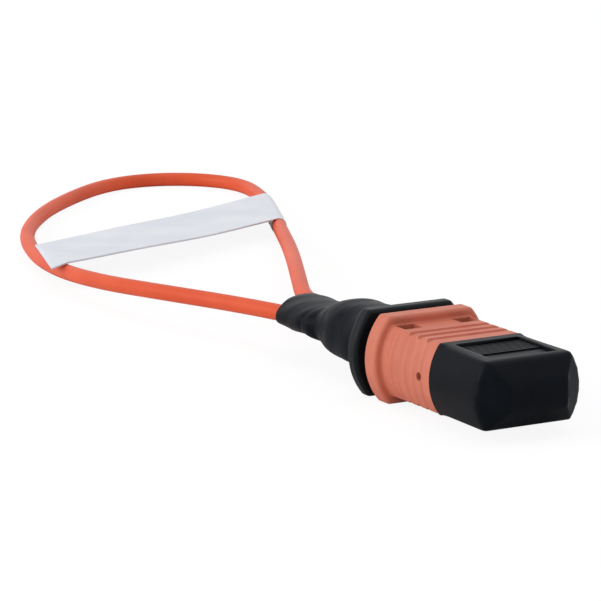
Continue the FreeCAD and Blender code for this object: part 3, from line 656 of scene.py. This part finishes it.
@dataclass
class ShrinkTube:
    """The tube over the crimp and both cable legs, drawn tight round what it covers.

    Stations run back from the boot flange, in millimetres from the datum.  Each has the half
    sizes of the tube's outline, its squareness, its twist and its shift to the side.  A wave of
    relief has a height, a rate along the tube, lobes round it and a phase.  A crease has a
    depth, a place, how far it swings along the tube, a phase and a width.
    """

    stations: tuple[float, ...] = (16.6, 20.0, 24.0, 26.2, 28.1, 29.5, 33.0, 36.0, 38.5, 41.5)
    half_width: tuple[float, ...] = (4.2, 4.16, 4.22, 3.95, 3.5, 3.7, 3.7, 3.6, 3.68, 3.75)
    half_height: tuple[float, ...] = (3.46, 3.38, 3.42, 3.05, 2.3, 1.95, 1.75, 1.7, 1.45, 1.35)
    square: tuple[float, ...] = (2.4, 2.4, 2.4, 2.35, 2.3, 2.3, 2.3, 2.3, 2.4, 2.5)
    twist: tuple[float, ...] = (0.0, 0.0, 0.0, 0.5, 1.5, 3.0, 4.0, 4.5, 4.5, 4.5)
    shift: tuple[float, ...] = (0.0, 0.0, 0.0, -0.05, -0.15, -0.35, -0.5, -0.3, -0.1, 0.0)
    cut: float = 37.9
    slant: float = 0.4
    cut_centre: float = 0.5
    wall: float = 0.3
    lip: float = 0.14
    lip_rows: int = 7
    waves: tuple[tuple[float, ...], ...] = ((0.07, 0.9, 2, 0.0), (0.05, 1.7, -3, 1.0))
    creases: tuple[tuple[float, ...], ...] = ((0.12, 28.4, 0.5, 0.6, 0.42),
                                              (0.09, 30.4, -0.6, 0.0, 0.35))
    relief_in: tuple[float, float] = (17.5, 20.5)
    relief_out: tuple[float, float] = (38.0, 42.0)
    legs_in: tuple[float, float] = (33.0, 38.0)
    leg_relief: float = 0.1
    rings: int = 150
    sides: int = 144

    def outline(self, back: Array, angle: Array, inset: float) -> Array:
        """Points of the tube at distances back and angles round it, moved in by inset.

        Each outline is a superellipse, turned by the twist about the axis and moved by the
        shift; low lumps and creases add up to 0.12 mm.

        Args:
            back: distances back from the datum.
            angle: angles round the axis.
            inset: how far inside the outer skin, in millimetres.

        Returns:
            The points, in millimetres from the datum.
        """
        table = np.array(self.stations)
        wide = smooth_between(table, np.array(self.half_width), back) - inset
        high = smooth_between(table, np.array(self.half_height), back) - inset
        power = 2 / smooth_between(table, np.array(self.square), back)
        turn = np.radians(smooth_between(table, np.array(self.twist), back))
        side = smooth_between(table, np.array(self.shift), back)
        c, s = np.cos(angle), np.sin(angle)
        y = wide * np.sign(c) * np.abs(c) ** power
        z = high * np.sign(s) * np.abs(s) ** power
        lump = self.lumps(back, angle)
        reach = 1 + lump / np.hypot(wide, high)
        y, z = y * reach, z * reach
        return np.stack([-back, side + y * np.cos(turn) - z * np.sin(turn),
                         y * np.sin(turn) + z * np.cos(turn)], -1)

    def lumps(self, back: Array, angle: Array) -> Array:
        """Relief of the shrunk wall: sines along and round the tube, and two creases.

        Args:
            back: distances back from the datum.
            angle: angles round the axis.

        Returns:
            How far each point stands out, in millimetres.
        """
        relief = sum(height * np.sin(along * back + lobes * angle + phase)
                     for height, along, lobes, phase in self.waves)
        for depth, place, swing, phase, width in self.creases:
            off = back - place - swing * np.sin(angle + phase)
            relief = relief - depth * np.exp(-(off / width) ** 2)
        fade = ramp(back, *self.relief_in) * (1.0 - ramp(back, *self.relief_out))
        legs = self.leg_relief * np.cos(4 * angle) * ramp(back, *self.legs_in)
        return fade * relief + legs

    def skin(self, inset: float, end: Array, angle: Array) -> Array:
        """The wall's skin at one depth.

        Args:
            inset: how far inside the outer skin, in millimetres.
            end: where each line along the tube ends.
            angle: the lines' angles round the axis.

        Returns:
            The points, in millimetres from the datum.
        """
        share = np.linspace(0, 1, self.rings)[:, None]
        front = self.stations[0]
        return self.outline(front + (end - front) * share, angle + 0 * share, inset)

    def build(self, wardrobe: Wardrobe) -> bpy.types.Object:
        """Makes the tube as one closed wall with a rounded slanted lip.

        Args:
            wardrobe: the finishes.

        Returns:
            The tube, in place of its plain solid.
        """
        angle = np.linspace(0, 2 * math.pi, self.sides, endpoint=False)[None, :]
        rim = self.outline(np.full_like(angle, self.cut), angle, 0.0)
        end = self.cut + self.slant * (rim[..., 1] - self.cut_centre)
        outer = self.skin(0.0, end - self.lip, angle)
        inner = self.skin(self.wall, end - self.lip, angle)[::-1]
        swing = np.linspace(0, math.pi, self.lip_rows + 2)[1:-1, None, None]
        middle = self.outline(end - self.lip, angle, self.wall / 2)
        toward = self.outline(end, angle, self.wall / 2) - middle
        across = outer[-1:] - middle
        lip = middle + across * np.cos(swing) + toward * np.sin(swing)
        points = np.concatenate([outer, lip, inner])[::-1] * MM + np.array(DATUM)
        piece = new_object("shrink_tube", grid_mesh("shrink_tube", points, wrap_u=True))
        wardrobe.wear(piece, Finish.SHRINK)
        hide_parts("heat_shrink")
        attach(piece, "housing")
        return piece


# ---------------------------------------------------------------- cable and label


@dataclass
class CableLoop:
    """The cable, from the crimp round its loop and back, on one smooth curve."""

    diameter: float = 1.9
    length: float = 269.0
    route: tuple[tuple[float, float, float], ...] = (
        (-20.5, -1.05, 0.0),
        (-28.4, -1.15, -0.1),
        (-37.0, -2.1, -0.35),
        (-46.0, -4.2, -0.6),
        (-57.0, -7.3, -1.0),
        (-69.5, -9.3, -1.8),
        (-83.0, -8.6, -2.7),
        (-97.0, -5.0, -3.5),
        (-111.0, 0.4, -3.8),
        (-123.0, 8.6, -3.8),
        (-131.8, 17.4, -3.8),
        (-138.3, 26.0, -3.8),
        (-139.3, 33.8, -3.8),
        (-135.5, 40.2, -3.8),
        (-128.2, 42.9, -3.75),
        (-117.2, 39.8, -3.62),
        (-104.8, 34.5, -3.6),
        (-91.2, 28.1, -3.1),
        (-78.1, 21.65, -2.0),
        (-65.6, 15.2, -0.9),
        (-53.2, 8.7, 0.0),
        (-39.2, 1.5, 0.45),
        (-30.0, 1.1, 0.15),
        (-20.5, 1.05, 0.0),
    )

    def curve(self, name: str, thickness: float) -> bpy.types.Object:
        """The route's curve, with its control points at the route's points.

        Args:
            name: the curve's name.
            thickness: its diameter in millimetres, or 0 for the bare line.

        Returns:
            The curve's object.
        """
        data = bpy.data.curves.new(name, "CURVE")
        data.dimensions = "3D"
        spline = data.splines.new("NURBS")
        spline.points.add(len(self.route) - 1)
        for point, place in zip(spline.points, self.route, strict=True):
            point.co = (*at(*place), 1.0)
        spline.order_u = 3
        spline.use_endpoint_u = True
        spline.resolution_u = 10
        data.bevel_depth = thickness / 2 * MM
        data.bevel_resolution = 6
        data.use_fill_caps = thickness > 0
        return new_object(name, data)

    def middle_line(self) -> Array:
        """Reads the cable's middle line from its curve.

        Returns:
            The line's points, in metres.
        """
        line = self.curve("cable_line", 0.0)
        bpy.context.view_layer.update()
        mesh = bpy.data.meshes.new_from_object(line.evaluated_get(
            bpy.context.evaluated_depsgraph_get()))
        points = np.zeros(len(mesh.vertices) * 3)
        mesh.vertices.foreach_get("co", points)
        bpy.data.objects.remove(line)
        return points.reshape(-1, 3)

    def build(self, wardrobe: Wardrobe, label: bpy.types.Object) -> bpy.types.Object:
        """Args:
            wardrobe: the finishes.
            label: the label on it; not used.

        Returns:
            The cable.
        """
        piece = self.curve("cable", self.diameter)
        wardrobe.wear(piece, Finish.JACKET)
        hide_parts("cable_loop")
        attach(piece, "housing")
        return piece


@dataclass
class LabelFlag:
    """The label: a strip laid round the far leg, its two halves stuck together as a flag.

    The flag leaves the top of the far leg, reaches over to the near leg and rests on it.  Places
    are in millimetres from the datum.
    """

    cable: CableLoop
    fold_at: tuple[float, float, float] = (-106.3, 35.1, -3.6)
    fold: float = 20.2
    back_corner: tuple[float, float] = (-96.0, -5.2)
    front_corner: tuple[float, float] = (-78.3, -11.4)
    back_rest: float = -2.22
    front_rest: float = -1.22
    back_contact: float = 1.0
    front_contact: float = 0.935
    droop: float = 4.2
    sag: float = 0.25
    sag_lean: float = 0.5
    thickness: float = 0.1
    tuck: float = 0.024
    arc: tuple[float, float] = (-40.0, 270.0)
    along: int = 61
    around: int = 33
    out: int = 90

    def fold_line(self) -> Array:
        """Finds the stretch of the cable's middle line under the fold.

        Returns:
            Evenly spaced points, in millimetres from the datum.
        """
        line = (self.cable.middle_line() - np.array(DATUM)) / MM
        near = int(np.argmin(np.linalg.norm(line - np.array(self.fold_at), axis=1)))
        steps = np.linalg.norm(np.diff(line, axis=0), axis=1)
        lengths = np.concatenate([[0.0], np.cumsum(steps)])
        want = lengths[near] + np.linspace(-0.5, 0.5, self.along) * self.fold
        return np.stack([np.interp(want, lengths, line[:, i]) for i in range(3)], -1)

    def sheet(self, crown: Array, share: Array) -> Array:
        """The flag's middle surface.

        Each row is straight in plan from the crown of the cable to the end edge.  Its height
        rises evenly to where it rests on the near leg, with a sine's sag on the way, and droops
        past it.

        Args:
            crown: the top of the wrapped cable, one point a row.
            share: how far out, from 0 at the crown to 1 at the end edge.

        Returns:
            Rows by shares by coordinates.
        """
        part = np.linspace(0, 1, self.along)[:, None]
        end = (1 - part) * np.array(self.back_corner) + part * np.array(self.front_corner)
        rest = self.back_rest + (self.front_rest - self.back_rest) * part
        contact = self.back_contact + (self.front_contact - self.back_contact) * part
        out = share[None, :]
        way = np.minimum(out / contact, 1.0)
        height = (crown[:, 2:] * (1 - way) + rest * way
                  - self.sag * np.sin(math.pi * way)
                  * (1.0 + self.sag_lean * np.sin(2 * math.pi * way))
                  - self.droop * np.maximum(out - contact, 0.0))
        plan = crown[:, None, :2] * (1 - out[..., None]) + end[:, None] * out[..., None]
        return np.concatenate([plan, height[..., None]], -1)

    def build(self, wardrobe: Wardrobe) -> bpy.types.Object:
        """Makes the label as one strip with a thickness.

        Across its profile it runs in along the lower layer, round the cable in an arc from its
        near side below to its top, and out along the upper layer.  Along the cable it follows
        the middle line.

        Args:
            wardrobe: the finishes.

        Returns:
            The label, in place of its plain solid.
        """
        middle = self.fold_line()
        up = np.array([0.0, 0.0, 1.0])
        leg = (middle[-1] - middle[0]) * np.array([1.0, 1.0, 0.0])
        leg = leg / np.linalg.norm(leg)
        toward = np.array([leg[1], -leg[0], 0.0])
        radius = self.cable.diameter / 2 + self.thickness / 2
        bend = np.radians(np.linspace(*self.arc, self.around))
        wrap = middle[:, None] + radius * (np.cos(bend)[None, :, None] * toward
                                           - np.sin(bend)[None, :, None] * up)
        crown = middle + radius * up
        upper = self.sheet(crown, np.linspace(0, 1, self.out)[1:])
        lower = self.sheet(crown, np.linspace(1, self.tuck, self.out)) - self.thickness * up
        points = np.concatenate([lower, wrap, upper], 1) * MM + np.array(DATUM)
        piece = new_object("label", grid_mesh("label", points, wrap_v=False))
        film = piece.modifiers.new("film", "SOLIDIFY")
        film.thickness = self.thickness * MM
        film.offset = 0.0
        wardrobe.wear(piece, Finish.LABEL)
        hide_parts("label_flag")
        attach(piece, "housing")
        return piece


# ---------------------------------------------------------------- rigid pieces


@dataclass
class CapShell:
    """The dust cap with the outer edges of its moulding softly rounded over.

    The faces of the outside are cut finely, and their points are then relaxed: each
    moves part of the way to the mean of its neighbours, a few times over.  Flats stay as they
    are, and edges between them round over.  The recess, its teeth and the inside stay as cut.
    """

    fine: float = 0.4
    relax: int = 10
    share: float = 0.55
    hull_slack: float = 0.14
    rear_sharp: float = 0.5
    rear_full: float = 1.2
    crease: float = 32.0
    flat: float = 0.5
    merge: float = 1e-6

    def mark_outside(self, shell: bmesh.types.BMesh) -> None:
        """Tags each face that no point of the cap lies beyond.

        Args:
            shell: the cap's mesh, whose outer faces get material index 1.
        """
        corners = np.array([v.co for v in shell.verts])
        normals = np.array([f.normal for f in shell.faces])
        centres = np.array([f.calc_center_median() for f in shell.faces])
        beyond = corners @ normals.T - np.sum(centres * normals, 1)
        outside = beyond.max(0) < self.hull_slack * MM
        for face, tag in zip(shell.faces, outside, strict=True):
            face.material_index = int(tag)

    def divide(self, shell: bmesh.types.BMesh) -> None:
        """Cuts the tagged faces by evenly spaced planes across each axis.

        Args:
            shell: the cap's mesh.
        """
        corners = np.array([v.co for v in shell.verts])
        for axis, normal in enumerate(np.eye(3)):
            low, high = corners[:, axis].min(), corners[:, axis].max()
            count = int((high - low) / (self.fine * MM))
            for place in np.linspace(low, high, count + 2)[1:-1]:
                faces = [f for f in shell.faces if f.material_index]
                geometry = dict.fromkeys(i for f in faces for i in (f, *f.edges, *f.verts))
                bmesh.ops.bisect_plane(shell, geom=list(geometry), dist=self.merge / 10,
                                       plane_co=normal * place, plane_no=normal)

    def relaxed(self, points: Array, edges: Array, free: Array) -> Array:
        """Moves free points towards the mean of their neighbours.

        Args:
            points: places of all points.
            edges: pairs of points.
            free: how freely each point moves, from 0 to 1.

        Returns:
            The new places.
        """
        both = np.concatenate([edges, edges[:, ::-1]])
        count = np.bincount(both[:, 0], minlength=len(points))[:, None]
        for _ in range(self.relax):
            total = np.stack([np.bincount(both[:, 0], points[both[:, 1], i], len(points))
                              for i in range(3)], -1)
            points = points + free[:, None] * self.share * (total / count - points)
        return points

    def build(self, wardrobe: Wardrobe) -> bpy.types.Object:
        """Merges a copy of the plain cap's mesh, divides its outside and rounds it over.

        Args:
            wardrobe: the finishes.

        Returns:
            The cap, in place of its plain solid.
        """
        shell = bmesh.new()
        shell.from_mesh(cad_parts["dust_cap"].data)
        bmesh.ops.remove_doubles(shell, verts=shell.verts, dist=self.merge)
        bmesh.ops.dissolve_limit(shell, angle_limit=math.radians(self.flat), verts=shell.verts,
                                 edges=shell.edges)
        self.mark_outside(shell)
        self.divide(shell)
        shell.verts.index_update()
        points = np.array([v.co for v in shell.verts])
        edges = np.array([[v.index for v in e.verts] for e in shell.edges])
        inner = np.array([not all(f.material_index for f in v.link_faces) for v in shell.verts])
        from_rear = (points[:, 0] - DATUM.x) / MM
        free = ramp(from_rear, self.rear_sharp, self.rear_full)
        points = self.relaxed(points, edges, np.where(inner, 0.0, free))
        for face in shell.faces:
            face.material_index = 0
        mesh = bpy.data.meshes.new("cap")
        shell.to_mesh(mesh)
        shell.free()
        mesh.vertices.foreach_set("co", points.ravel())
        mesh.polygons.foreach_set("use_smooth", np.ones(len(mesh.polygons), bool))
        mesh.update()
        mesh.set_sharp_from_angle(angle=math.radians(self.crease))
        piece = new_object("cap", mesh)
        wardrobe.wear(piece, Finish.CAP)
        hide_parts("dust_cap")
        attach(piece, "cap")
        LOG.info("the cap has %d faces", len(mesh.polygons))
        return piece


@dataclass
class CoilSpring:
    """A coil of round wire along the axis.

    Travel is the joint's, in millimetres, and is not used; wire is the wire's radius.
    """

    name: str
    node: str
    joint: str
    travel: float
    turns: float
    wire: float
    steps: int = 36
    sides: int = 12

    def build(self, wardrobe: Wardrobe) -> bpy.types.Object:
        """Makes the coil in the space of its plain solid.

        The middle of the wire turns evenly about the axis as it moves along it, on an oval as
        wide and high as the space allows.  Round it runs a circle across the wire.

        Args:
            wardrobe: the finishes.

        Returns:
            The spring, in place of its plain solid.
        """
        low, high = (np.array(corner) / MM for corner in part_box(self.node))
        centre = (low + high) / 2
        width, height = (high - low)[1:] / 2 - self.wire
        angle = np.linspace(0, 2 * math.pi * self.turns, int(self.steps * self.turns) + 1)
        along = np.linspace(low[0] + self.wire, high[0] - self.wire, len(angle))
        line = np.stack([along, centre[1] + width * np.cos(angle),
                         centre[2] + height * np.sin(angle)], -1)
        tangent = np.gradient(line, axis=0)
        tangent = tangent / np.linalg.norm(tangent, axis=1)[:, None]
        outward = np.stack([np.zeros_like(angle), np.cos(angle), np.sin(angle)], -1)
        across = np.cross(tangent, outward)
        across = across / np.linalg.norm(across, axis=1)[:, None]
        outward = np.cross(across, tangent)
        turn = np.linspace(0, 2 * math.pi, self.sides, endpoint=False)[None, :, None]
        points = line[:, None] + self.wire * (np.cos(turn) * outward[:, None]
                                              + np.sin(turn) * across[:, None])
        piece = new_object(self.name, grid_mesh(self.name, points * MM, ends=True))
        wardrobe.wear(piece, Finish.STEEL)
        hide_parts(self.node)
        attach(piece, "housing")
        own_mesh(piece)
        return piece


class RigidPieces:
    """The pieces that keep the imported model's own shape."""

    def dress(self, wardrobe: Wardrobe) -> None:
        """Gives each its finish.

        Args:
            wardrobe: the finishes.
        """
        for name, finish in CAD_FINISH.items():
            wardrobe.wear(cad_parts[name], finish)
            LOG.info("dressed %s as %s", name, finish.value.name)


# ---------------------------------------------------------------- stage


@dataclass
class Stage:
    """Floor, light and camera."""

    camera_at: tuple[float, float, float] = (298.348, -192.301, 83.114)
    azimuth: float = 60.2
    elevation: float = 12.0
    lens: float = 209.65
    sensor: float = 36.0
    floor_size: float = 3.0
    floor_drop: float = 0.00005
    floor_glow: float = 1.05
    floor_glow_seen: float = 0.86
    world_light: float = 0.5
    world_seen: float = 1.0
    lamps: tuple[tuple[Any, ...], ...] = (("key", (-0.28, -0.80, 0.34), 0.6, 3.6),
                                          ("top", (-0.05, 0.10, 0.90), 0.7, 1.6))

    def build(self) -> None:
        """Makes the floor, the lamps, the world and the camera."""
        self.make_floor()
        self.make_world()
        for lamp in self.lamps:
            self.make_lamp(*lamp)
        self.make_camera()

    def make_floor(self) -> None:
        """Makes a white floor, seen as plain white wherever no shadow falls."""
        half = self.floor_size / 2
        corners = [(-half, -half, 0), (half, -half, 0), (half, half, 0), (-half, half, 0)]
        mesh = bpy.data.meshes.new("floor")
        mesh.from_pydata(corners, [], [(0, 1, 2, 3)])
        floor = new_object("floor", mesh)
        floor.location.z = -self.floor_drop
        material = Material("floor")
        material.set("Base Color", (0.9, 0.9, 0.9, 1.0))
        material.set("Roughness", 0.9)
        path = material.node("ShaderNodeLightPath")
        glow = material.node("ShaderNodeEmission", None,
                             {"Color": WHITE, "Strength": self.floor_glow})
        seen = Socket(material, path.outputs["Is Camera Ray"]) * self.floor_glow_seen
        mixer = material.node("ShaderNodeMixShader", None,
                              {0: seen, 1: material.shader.outputs[0], 2: glow.outputs[0]})
        output = material.tree.nodes["Material Output"]
        feed(material.tree, output.inputs["Surface"], mixer.outputs[0])
        mesh.materials.append(material.data)

    def make_world(self) -> None:
        """Makes an even world, brighter to the camera, through clear things and in gloss."""
        world = bpy.data.worlds.new("studio")
        bpy.context.scene.world = world
        world.use_nodes = True
        tree = world.node_tree
        path = add_node(tree, "ShaderNodeLightPath").outputs
        direct = add_node(tree, "ShaderNodeMath", {"operation": "MAXIMUM"},
                          {0: path["Is Camera Ray"], 1: path["Is Transmission Ray"]})
        either = add_node(tree, "ShaderNodeMath", {"operation": "MAXIMUM"},
                          {0: direct.outputs[0], 1: path["Is Glossy Ray"]})
        strength = add_node(tree, "ShaderNodeMapRange", None,
                            {"Value": either.outputs[0], "To Min": self.world_light,
                             "To Max": self.world_seen})
        background = tree.nodes["Background"]
        feed(tree, background.inputs["Strength"], strength.outputs["Result"])
        feed(tree, background.inputs["Color"], WHITE)

    @staticmethod
    def make_lamp(name: str, place: tuple[float, float, float], size: float,
                  power: float) -> None:
        """Makes a square area lamp that faces the connector.

        Args:
            name: the lamp's name.
            place: where it stands, in metres.
            size: its side, in metres.
            power: its power, in watts.
        """
        data = bpy.data.lights.new(name, "AREA")
        data.size = size
        data.energy = power
        lamp = new_object(name, data)
        lamp.location = place
        lamp.rotation_euler = (-Vector(place)).to_track_quat("-Z", "Y").to_euler()

    def make_camera(self) -> None:
        """Makes the camera: a long lens, level, looking along the connector from its nose."""
        data = bpy.data.cameras.new("camera")
        data.lens = self.lens
        data.sensor_width = self.sensor
        data.clip_start = 0.01
        data.clip_end = 20.0
        camera = new_object("camera", data)
        turned = math.radians(self.azimuth)
        raised = math.radians(self.elevation)
        right = Vector((math.cos(turned), math.sin(turned), 0))
        level = Vector((math.sin(turned), -math.cos(turned), 0)) * math.cos(raised)
        back = level + Vector((0, 0, math.sin(raised)))
        up = back.cross(right)
        facing = Matrix((right, up, back)).transposed().to_4x4()
        camera.matrix_world = Matrix.Translation(at(*self.camera_at)) @ facing
        bpy.context.scene.camera = camera


SPRINGS: tuple[CoilSpring, ...] = (
    CoilSpring("ferrule_coil", "ferrule_spring", "ferrule_push", travel=0.8, turns=4, wire=0.2),
    CoilSpring("left_coil", "return_spring_left", "sleeve_pull", travel=1.5, turns=6, wire=0.09),
    CoilSpring("right_coil", "return_spring_right", "sleeve_pull", travel=1.5, turns=6, wire=0.09),
)


def main() -> None:
    """Builds the connector's looks, piece by piece."""
    logging.basicConfig(level=logging.INFO, format="%(name)s: %(message)s")
    bpy.context.scene.view_settings.view_transform = "Standard"
    wardrobe = Wardrobe()
    Stage().build()
    cable = CableLoop()
    label = LabelFlag(cable).build(wardrobe)
    LOG.info("made %s", label.name)
    loop = cable.build(wardrobe, label)
    LOG.info("made %s", loop.name)
    tube = ShrinkTube().build(wardrobe)
    LOG.info("made %s", tube.name)
    cap = CapShell().build(wardrobe)
    LOG.info("made %s", cap.name)
    for spring in SPRINGS:
        LOG.info("made %s", spring.build(wardrobe).name)
    RigidPieces().dress(wardrobe)


if __name__ == "__main__":
    main()
